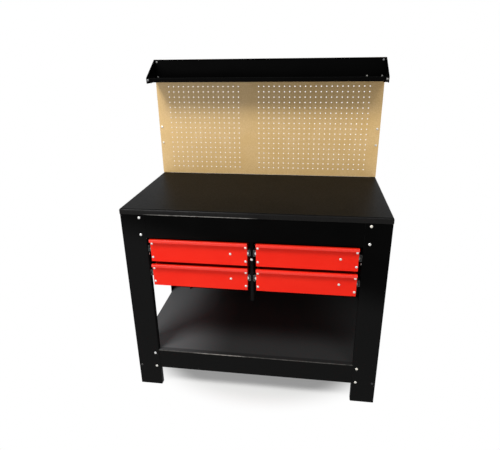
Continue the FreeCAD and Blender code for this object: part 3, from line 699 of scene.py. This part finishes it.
def pegboard():
    """Hardboard with its full grid of holes, plain in one strip and round the edges."""
    low, high = corners("pegboard")
    top = corners("top_tray")[0].z - TOP_HOLE_BELOW_TRAY
    first = -(HOLE_COLUMNS - 1) * HOLE_PITCH / 2
    bm = bmesh.new()
    for column in range(HOLE_COLUMNS):
        for row in range(HOLE_ROWS):
            copy = tile(column not in PLAIN_COLUMNS)
            copy.transform(Matrix.Translation((first + column * HOLE_PITCH, low.y, top - row * HOLE_PITCH)))
            bm.from_mesh(copy)
            bpy.data.meshes.remove(copy)
    bmesh.ops.remove_doubles(bm, verts=bm.verts, dist=TILE_MERGE)
    for axis, limits in ((0, (low.x, high.x)), (2, (low.z, high.z))):
        for limit, pick in zip(limits, (min, max)):
            edge_of = pick(v.co[axis] for v in bm.verts)
            rim = [e for e in bm.edges if all(abs(v.co[axis] - edge_of) < CLOSE for v in e.verts)]
            way = [0.0, 0.0, 0.0]
            way[axis] = limit - edge_of
            drawn_out(bm, rim, way)
    bmesh.ops.recalc_face_normals(bm, faces=bm.faces)
    bm.faces.ensure_lookup_table()
    if bm.faces[0].normal.y > 0:
        bmesh.ops.reverse_faces(bm, faces=bm.faces)
    return bm


def top_tray():
    """Tray: high back wall, floor and low front lip, with hems on both edges."""
    low, high = corners("top_tray")
    lip_top = low.z + TRAY_LIP
    section = [(low.y + TRAY_HEM, lip_top), (low.y, lip_top), (low.y, low.z), (high.y, low.z),
               (high.y, high.z), (high.y - TRAY_HEM, high.z)]
    bends = [TIGHT_BEND, FRAME_BEND, FRAME_BEND, TIGHT_BEND]
    return folded_sheet(section, "x", [low.x, high.x], TRAY_SHEET, bends)


def tray_end():
    """Right end plate: sloping top edge, round nose, and a tab folded over the lip above a bend relief."""
    low, high = corners("tray_end_right")
    lip_top = corners("top_tray")[0].z + TRAY_LIP
    tab_bottom = low.z + TRAY_END_STEP
    bend = TRAY_END_SHEET + TIGHT_BEND
    relief = low.y + bend + TRAY_END_RELIEF
    outline = [(low.y, lip_top), (low.y, tab_bottom), (relief, tab_bottom), (relief, low.z), (high.y, low.z),
               (high.y, high.z)]
    bm = bmesh.new()
    flat_face(bm, [(high.x, y, z) for y, z in outline])
    nose = [v for v in bm.verts if v.co.y < relief + CLOSE and v.co.z < low.z + CLOSE]
    rounded_off(bm, nose, TRAY_END_ROUND, ROUND_STEPS, "VERTICES")
    front = [e for e in bm.edges if all(v.co.y < low.y + CLOSE for v in e.verts)]
    drawn_out(bm, front, (-TRAY_TAB, 0, 0))
    bmesh.ops.recalc_face_normals(bm, faces=bm.faces)
    bm.faces.ensure_lookup_table()
    if bm.faces[0].normal.x < 0:
        bmesh.ops.reverse_faces(bm, faces=bm.faces)
    rounded_off(bm, [e for e in bm.edges if len(e.link_faces) == 2], bend, FOLD_STEPS)
    return bm


def drawer_front(place):
    """Front sheet: top edge folded forwards and down as a pull, bottom edge returned."""
    low, high = corners("drawer_front_" + place)
    inner = low.y + DRAWER_SHEET
    face = low.y + PULL_DEPTH
    under = high.z - DRAWER_SHEET
    section = [(inner, high.z - PULL_DROP), (inner, under), (face, under), (face, low.z),
               (face + FRONT_RETURN, low.z)]
    bm = folded_sheet(section, "x", [low.x, high.x], DRAWER_SHEET, [PULL_BEND, PULL_BEND, TIGHT_BEND])
    # Faces of the pull take the glossier, slightly paler red: the paler tone is a painted highlight.
    for sheet in bm.faces:
        sheet.material_index = int(sheet.calc_center_median().y < face - PULL_MARGIN)
    return bm


def drawer_box(place):
    """Open box: sides and bottom folded from one sheet, sides returned inwards, two end walls."""
    low, high = corners("drawer_box_" + place)
    section = [(low.x + BOX_RETURN, high.z), (low.x, high.z), (low.x, low.z), (high.x, low.z),
               (high.x, high.z), (high.x - BOX_RETURN, high.z)]
    bm = folded_sheet(section, "y", [low.y, high.y], BOX_SHEET, [BOX_BEND] * 4)
    left, right, bottom = low.x + END_INSET, high.x - END_INSET, low.z + END_INSET
    for y, order in ((low.y, 1), (high.y, -1)):
        wall = [(left, y, bottom), (right, y, bottom), (right, y, high.z), (left, y, high.z)]
        flat_face(bm, wall[::order])
    return bm


def joined(meshes):
    """Several meshes as one."""
    whole = bmesh.new()
    for bm in meshes:
        part = bpy.data.meshes.new("part")
        bm.to_mesh(part)
        bm.free()
        whole.from_mesh(part)
        bpy.data.meshes.remove(part)
    return whole


def slide_faces(place):
    """Carrier faces of a drawer's column, with the way each one faces."""
    rails_low, rails_high = corners("fixed_rails_" + place)
    return ((rails_low.x, 1), (rails_high.x, -1))


def rail_pair(node, points, start):
    """A drawer's two rails of one section: distances from the carrier face, heights from the middle."""
    place = node.split("rails_")[1]
    low, high = corners(node)
    z = (low.z + high.z) / 2
    rails = []
    for face, facing in slide_faces(place):
        section = [(face + facing * u, z + v) for u, v in points][::facing]
        rails.append(folded_sheet(section, "y", [start, high.y], RAIL_SHEET, [RAIL_BEND] * (len(points) - 2)))
    return rails


def beside_leg(face, node):
    """True on the slide beside the leg, which takes the darker steel of painted shade, and not on that by the
    divider.
    """
    low, high = corners(node)
    return abs(face.calc_center_median().x) > abs(low.x + high.x) / 2


def fixed_rails(place):
    """Fixed rails on the carrier and the divider, with hooked lips."""
    h, d = SLIDE_HEIGHT / 2, RAIL_DEPTH
    points = [(d, h - RAIL_HOOK), (d, h), (0, h), (0, -h), (d, -h), (d, RAIL_HOOK - h)]
    node = "fixed_rails_" + place
    bm = joined(rail_pair(node, points, corners(node)[0].y))
    # The slide beside the leg gets the darker steel: painted shade.
    for face in bm.faces:
        face.material_index = int(beside_leg(face, node))
    return bm


def stop_plate(face, facing, y, z):
    """Round-nosed stop across the front end of a moving rail, its nose towards the carrier."""
    flat, nose, h = face + facing * SLIDE_GAP, face + facing * STOP_GAP, STOP_HEIGHT / 2
    bm = bmesh.new()
    flat_face(bm, [(flat, y, z - h), (flat, y, z + h), (nose, y, z + h), (nose, y, z - h)][::facing])
    tips = [v for v in bm.verts if abs(v.co.x - nose) < CLOSE]
    rounded_off(bm, tips, h - STOP_FLAT, ROUND_STEPS, "VERTICES")
    return bm


def moving_rails(place):
    """Moving rails on the drawer's sides, each with its stop."""
    h, d = MOVING_RAIL_HEIGHT / 2, SLIDE_GAP
    points = [(d - MOVING_RAIL_DEPTH, -h), (d, -h), (d, h), (d - MOVING_RAIL_DEPTH, h)]
    node = "moving_rails_" + place
    low, high = corners(node)
    stops = [stop_plate(face, facing, low.y, (low.z + high.z) / 2) for face, facing in slide_faces(place)]
    bm = joined(rail_pair(node, points, low.y + RAIL_SHEET) + stops)
    # The slides beside the leg get the darker steel, painted shade; the stops by the divider get bright zinc.
    for face in bm.faces:
        on_stop = face.calc_center_median().y < low.y + RAIL_SHEET / 2
        face.material_index = 1 if beside_leg(face, node) else 2 * on_stop
    return bm


def ball_cages(place):
    """Thin retainers with a row of steel balls above and below each moving rail."""
    low, high = corners("ball_cages_" + place)
    z = (low.z + high.z) / 2
    reach = (high.z - low.z) / 2
    ball = (reach - MOVING_RAIL_HEIGHT / 2 - RUNNING_GAP) / 2
    row = reach - ball
    parts = []
    for face, facing in slide_faces(place):
        back = face + facing * (RAIL_SHEET + RUNNING_GAP)
        lip = face + facing * (RAIL_DEPTH - RAIL_SHEET - RUNNING_GAP - CAGE_SETBACK)
        section = [(lip, z + row), (back, z + row), (back, z - row), (lip, z - row)][::facing]
        cage = folded_sheet(section, "y", [low.y, high.y], CAGE_WEB, [RAIL_BEND] * 2)
        bmesh.ops.solidify(cage, geom=cage.faces[:], thickness=CAGE_WEB)
        parts.append(cage)
        balls = bmesh.new()
        count = int((high.y - low.y) / BALL_PITCH)
        for i in range(count):
            y = low.y + BALL_PITCH / 2 + i * BALL_PITCH
            for way in BOTH:
                bmesh.ops.create_uvsphere(balls, u_segments=BALL_STEPS[0], v_segments=BALL_STEPS[1], radius=ball,
                                          matrix=Matrix.Translation(((back + lip) / 2, y, z + way * row)))
        parts.append(balls)
    return joined(parts)


def turned(profile, steps):
    """Mesh turned about the Z axis from a profile of radius and height."""
    bm = bmesh.new()
    line = [bm.verts.new((r, 0, z)) for r, z in profile]
    edges = [bm.edges.new(ends) for ends in zip(line, line[1:])]
    bmesh.ops.spin(bm, geom=line + edges, cent=(0, 0, 0), axis=(0, 0, 1), angle=2 * math.pi, steps=steps,
                   use_merge=True)
    bmesh.ops.remove_doubles(bm, verts=bm.verts, dist=CLOSE)
    bmesh.ops.recalc_face_normals(bm, faces=bm.faces)
    return bm


def dome_bolt(kind, grip):
    """Round-head bolt with its seat at the origin, head up, shank down through what it grips."""
    r, h, shank, tail = kind
    end = -(grip + tail)
    crown = [(r * math.sin(t), (1 - DOME_SHARE) * h + DOME_SHARE * h * math.cos(t)) for t in DOME_TURNS]
    crown[0] = (0.0, h)
    return turned(crown + [(r, RIM_SHARE * h), (r, 0.0), (shank, 0.0), (shank, end + CHAMFER),
                           (shank - CHAMFER, end), (0.0, end)], BOLT_STEPS)


def nut(radius, height, start):
    """Six-sided nut on the shank, its corners chamfered."""
    bm = bmesh.new()
    bmesh.ops.create_cone(bm, cap_ends=True, segments=6, radius1=radius, radius2=radius, depth=height,
                          matrix=Matrix.Translation((0, 0, -start - height / 2)))
    rim = [e for e in bm.edges if abs(e.verts[0].co.z - e.verts[1].co.z) < FINE]
    rounded_off(bm, rim, CHAMFER, 1)
    return bm


def fasteners(places, kind, with_nut):
    """The same fastener at every place: seat, the way its head faces, and what it grips."""
    parts = []
    for seat, out, grip in places:
        made = [dome_bolt(kind, grip)]
        if with_nut:
            made.append(nut(kind[2] * NUT_SHARE, NUT_HEIGHT, grip))
        bm = joined(made)
        turn = Vector((0, 0, 1)).rotation_difference(Vector(out)).to_matrix().to_4x4()
        bmesh.ops.transform(bm, matrix=Matrix.Translation(seat) @ turn, verts=bm.verts)
        parts.append(bm)
    return joined(parts)


FRAME = "bench_frame"
piece("worktop_pan", worktop(), FRAME, TOP_BLACK, ["worktop"], WORKTOP_SHEET, more=[ROLLED_BLACK])
for name, bm, material, wall, node in (
        ("worktop_hat_front", hat("worktop_stiffener_front"), BLACK, FRAME_SHEET, "worktop_stiffener_front"),
        ("worktop_hat_rear", hat("worktop_stiffener_rear"), BLACK, FRAME_SHEET, "worktop_stiffener_rear"),
        ("shelf_hat", hat("shelf_stiffener"), BLACK, FRAME_SHEET, "shelf_stiffener"),
        ("apron_front", apron(), BLACK, FRAME_SHEET, "front_apron"),
        ("apron_rear", mirrored(apron(), False, True), BLACK, FRAME_SHEET, "rear_apron"),
        ("shelf_lower", lower_shelf(), SHELF_BLACK, FRAME_SHEET, "lower_shelf"),
        ("panel_rear", back_panel(), BLACK, BACK_SHEET, "back_panel"),
        ("divider_half_left", divider_left(), BLACK, FRAME_SHEET, "divider_left"),
        ("divider_half_right", divider_right(), BLACK, FRAME_SHEET, "divider_right"),
        ("tray_top", top_tray(), BLACK, TRAY_SHEET, "top_tray")):
    piece(name, bm, FRAME, material, [node], wall)
for side in SIDES:
    left = side == "left"
    for name, bm, wall, node in (
            ("front_leg_", mirrored(leg(), left, False), FRAME_SHEET, "leg_front_"),
            ("rear_leg_", mirrored(leg(), left, True), FRAME_SHEET, "leg_rear_"),
            ("apron_side_", mirrored(side_apron(), left, False), FRAME_SHEET, "side_apron_"),
            ("carrier_", mirrored(drawer_carrier(), left, False), FRAME_SHEET, "drawer_carrier_"),
            ("back_upright_", mirrored(upright(), left, False), FRAME_SHEET, "upright_"),
            ("tray_plate_", mirrored(tray_end(), left, False), TRAY_END_SHEET, "tray_end_")):
        piece(name + side, bm, FRAME, BLACK, [node + side], wall)
piece("board_perforated", pegboard(), FRAME, HARDBOARD, ["pegboard"], BOARD_SHEET, edge=0.0,
      smooth=False)

for place in PLACES:
    drawer, cages = "drawer_" + place, "cages_" + place
    piece("front_sheet_" + place, drawer_front(place), drawer, RED, ["drawer_front_" + place],
          DRAWER_SHEET, more=[PULL_RED])
    piece("box_sheet_" + place, drawer_box(place), drawer, RED, ["drawer_box_" + place], BOX_SHEET,
          THIN_EDGE_ROUND)
    piece("rails_outer_" + place, fixed_rails(place), FRAME, SLIDE_STEEL,
          ["fixed_rails_" + place], RAIL_SHEET, THIN_EDGE_ROUND, more=[SHADED_SLIDE_STEEL])
    piece("rails_inner_" + place, moving_rails(place), drawer, SLIDE_STEEL,
          ["moving_rails_" + place], RAIL_SHEET, THIN_EDGE_ROUND, more=[SHADED_SLIDE_STEEL, ZINC])
    piece("cages_with_balls_" + place, ball_cages(place), cages, SLIDE_STEEL,
          ["ball_cages_" + place], edge=0.0)


def fastener_piece(name, places, kind, with_nut, material, node, body=FRAME):
    """One piece of all the fasteners at some places."""
    piece(name, fasteners(places, kind, with_nut), body, material, [node], edge=0.0)


FORWARD, BACKWARD, UP = (0, -1, 0), (0, 1, 0), (0, 0, 1)
panel_low, panel_high = corners("back_panel")
two_sheets = 2 * FRAME_SHEET


def rear_seat(x, z):
    """Seat of a rear bolt: on the back panel where that lies under it."""
    clamped = abs(x) < panel_high.x and panel_low.z < z < panel_high.z
    panel = BACK_SHEET if clamped else 0.0
    return (x, leg_rear + panel, z), BACKWARD, two_sheets + panel


def leg_places(points):
    """Places on the front legs and opposite them on the rear legs."""
    front = [((x, leg_front, z), FORWARD, two_sheets) for x, z in points]
    return front + [rear_seat(x, z) for x, z in points]


apron_heights = [apron_high.z - drop for drop in APRON_BOLT_DROPS]
apron_bolts = [(s * APRON_BOLT_X, z) for s in BOTH for z in apron_heights]
shelf_bolts = [(s * SHELF_BOLT_X, shelf_high.z - drop) for s in BOTH for drop in SHELF_BOLT_DROPS]
shelf_screws = [(s * SHELF_SCREW_X, shelf_high.z - SHELF_SCREW_DROP) for s in BOTH]
side_depths = (leg_front + SIDE_BOLT_INSET, leg_rear - SIDE_BOLT_INSET)
frame_places = leg_places(apron_bolts + shelf_bolts)
frame_places += [((s * leg_high.x, y, z), (s, 0, 0), two_sheets)
                 for s in BOTH for y in side_depths for z in apron_heights]
fastener_piece("bolts_frame", frame_places, BOLT, True, ZINC, "frame_bolts")
fastener_piece("screws_shelf", leg_places(shelf_screws), SCREW, True, BLACKENED, "frame_bolts")

upright_low, upright_high = corners("upright_right")
upright_x = (upright_low.x + upright_high.x) / 2
upright_places = [((s * upright_x, leg_rear + FRAME_SHEET, apron_high.z - drop), BACKWARD, two_sheets)
                  for s in BOTH for drop in UPRIGHT_BOLT_DROPS]
fastener_piece("bolts_upright", upright_places, BOLT, True, ZINC, "upright_bolts")

carrier_x = corners("drawer_carrier_right")[0].x
carrier_z = apron_low.z - CARRIER_BOLT_DROP
divider_front = corners("divider_left")[0].y
divider_depths = (divider_front + DIVIDER_BOLT_INSET, 2 * middle_y - divider_front - DIVIDER_BOLT_INSET)
carrier_places = [((s * carrier_x, y, carrier_z), (-s, 0, 0), two_sheets) for s in BOTH
                  for y in (leg_front + CARRIER_BOLT_INSET, leg_rear - CARRIER_BOLT_INSET)]
carrier_places += [((0, divider_front, carrier_z), FORWARD, two_sheets),
                   ((0, leg_rear + BACK_SHEET, carrier_z), BACKWARD, two_sheets + BACK_SHEET)]
carrier_places += [((0, y, apron_low.z + FRAME_SHEET), UP, 3 * FRAME_SHEET) for y in divider_depths]
fastener_piece("bolts_carrier", carrier_places, SCREW, True, ZINC, "carrier_bolts")

board_low = corners("pegboard")[0]
board_places = [((s * upright_x, board_low.y, board_low.z + rise), FORWARD, BOARD_SHEET + FRAME_SHEET)
                for s in BOTH for rise in BOARD_SCREW_RISES]
fastener_piece("screws_board", board_places, SCREW, False, ZINC, "board_screws")

tray_low, tray_high = corners("top_tray")
tray_wall = tray_high.y - TRAY_SHEET
wall_and_board = TRAY_SHEET + BOARD_SHEET
tray_places = [((s * upright_x, tray_wall, tray_high.z - drop), FORWARD, wall_and_board + FRAME_SHEET)
               for s in BOTH for drop in TRAY_SCREW_DROPS]
tray_places += [((tray_high.x - TRAY_EXTRA_SCREW_INSET, tray_wall, tray_low.z + TRAY_EXTRA_SCREW_RISE), FORWARD,
                 wall_and_board)]
tray_places += [((s * TRAY_END_SCREW_X, tray_low.y - TRAY_END_SHEET, tray_low.z + TRAY_LIP / 2), FORWARD,
                 TRAY_END_SHEET + TRAY_SHEET) for s in BOTH]
fastener_piece("bolts_tray", tray_places, SCREW, False, DULL_ZINC, "tray_bolts")

for place in PLACES:
    low, high = corners("drawer_front_" + place)
    seats = [(x, z) for x in (low.x + FRONT_SCREW_INSET, high.x - FRONT_SCREW_INSET)
             for z in (high.z - FRONT_SCREW_DROP, low.z + FRONT_SCREW_DROP)]
    seats.append((high.x - FRONT_EXTRA_SCREW_INSET, (low.z + high.z) / 2))
    screws = [((x, leg_front, z), FORWARD, DRAWER_SHEET + BOX_SHEET) for x, z in seats]
    fastener_piece("screws_front_" + place, screws, SCREW, False, ZINC, "front_screws_" + place,
                   "drawer_" + place)


# Stage: a pale floor that runs into a white background, and soft light from above the front. Metres and watts.
AMBIENT = 0.24
FLOOR_SIZE = 12.0
SHADOW_HALF_WIDTH, SHADOW_HALF_DEPTH = 0.58, 0.4
SHADOW_INNER, SHADOW_OUTER = 0.75, 1.1
SHADOW_GLOW = 0.25
WHITE = (1, 1, 1, 1)


def seen(tree):
    """1 for rays that show a background: straight to the camera, off metal or through glass."""
    path = add(tree, "ShaderNodeLightPath")
    mirror = add(tree, "ShaderNodeMath",
                 {0: path.outputs["Is Glossy Ray"], 1: path.outputs["Is Transmission Ray"]}, operation="MAXIMUM")
    return add(tree, "ShaderNodeMath", {0: path.outputs["Is Camera Ray"], 1: mirror.outputs[0]},
               operation="MAXIMUM").outputs[0]


world = bpy.data.worlds.new("white_studio")
world.use_nodes = True
world_tree = world.node_tree
world_tree.nodes.clear()
level = add(world_tree, "ShaderNodeMapRange", {"Value": seen(world_tree), "To Min": AMBIENT, "To Max": 1.0})
sky = add(world_tree, "ShaderNodeBackground", {"Color": WHITE, "Strength": level.outputs[0]})
add(world_tree, "ShaderNodeOutputWorld", {"Surface": sky.outputs[0]})
bpy.context.scene.world = world

# The floor is matt white paint. It keeps the bench's shadow in an oval under it and is plain white beyond that.
floor_material, tree, spot = new_material("floor_matt_white_paint")
oval = add(tree, "ShaderNodeVectorMath", {0: spot, 1: (1 / SHADOW_HALF_WIDTH, 1 / SHADOW_HALF_DEPTH, 0.0)},
           operation="MULTIPLY")
distance = add(tree, "ShaderNodeVectorMath", {0: oval.outputs[0]}, operation="LENGTH")
fade = add(tree, "ShaderNodeMapRange",
           {"Value": distance.outputs["Value"], "From Min": SHADOW_INNER, "From Max": SHADOW_OUTER,
            "To Min": SHADOW_GLOW, "To Max": 1.0}, interpolation_type="SMOOTHSTEP")
glow = add(tree, "ShaderNodeMath", {0: fade.outputs[0], 1: seen(tree)}, operation="MULTIPLY")
paint = add(tree, "ShaderNodeBsdfDiffuse", {"Color": linear("#F2F2F0")})
white = add(tree, "ShaderNodeEmission", {"Color": WHITE})
shown = add(tree, "ShaderNodeMixShader", {0: glow.outputs[0], 1: paint.outputs[0], 2: white.outputs[0]})
finish_material(floor_material, tree, shown)
bm = bmesh.new()
bmesh.ops.create_grid(bm, x_segments=8, y_segments=8, size=FLOOR_SIZE / 2)
floor_mesh = bpy.data.meshes.new("floor")
bm.to_mesh(floor_mesh)
bm.free()
floor_mesh.materials.append(floor_material)
floor = bpy.data.objects.new("floor", floor_mesh)
bpy.context.scene.collection.objects.link(floor)


def softbox(name, position, target, width, height, power):
    """Rectangular soft light, aimed at a point."""
    data = bpy.data.lights.new(name, "AREA")
    data.shape = "RECTANGLE"
    data.size = width
    data.size_y = height
    data.energy = power
    lamp = bpy.data.objects.new(name, data)
    lamp.location = position
    lamp.rotation_euler = (Vector(target) - Vector(position)).to_track_quat("-Z", "Y").to_euler()
    bpy.context.scene.collection.objects.link(lamp)


softbox("left_softbox", (-1.6, -2.0, 4.1), (0.0, 0.1, 1.0), 1.4, 1.4, 130.0)
softbox("right_softbox", (1.6, -2.0, 4.1), (0.0, 0.1, 1.0), 1.4, 1.4, 40.0)
softbox("low_softbox", (-1.4, -3.0, 0.85), (0.0, 0.1, 0.9), 1.3, 0.7, 15.0)

# Camera at the photograph's place: the bench seen from the front, a little right and above
CAMERA_POSITION = Vector((0.23272, -1.938826, 1.521711))
YAW, PITCH, ROLL = -0.14425, 0.38048, -0.01475
FOCAL_PIXELS = 437.176
PICTURE_WIDTH = 500
SENSOR_WIDTH = 36.0

forward = Vector((math.sin(YAW) * math.cos(PITCH), math.cos(YAW) * math.cos(PITCH), -math.sin(PITCH)))
level_right = Vector((math.cos(YAW), -math.sin(YAW), 0))
level_up = level_right.cross(forward)
right = math.cos(ROLL) * level_right + math.sin(ROLL) * level_up
up = -math.sin(ROLL) * level_right + math.cos(ROLL) * level_up
turn = Matrix((right, up, -forward)).transposed().to_4x4()
camera_data = bpy.data.cameras.new("camera")
camera_data.sensor_fit = "HORIZONTAL"
camera_data.sensor_width = SENSOR_WIDTH
camera_data.lens = FOCAL_PIXELS / PICTURE_WIDTH * SENSOR_WIDTH
camera = bpy.data.objects.new("camera", camera_data)
camera.matrix_world = Matrix.Translation(CAMERA_POSITION) @ turn
bpy.context.scene.collection.objects.link(camera)
bpy.context.scene.camera = camera
bpy.context.scene.view_settings.view_transform = "Standard"
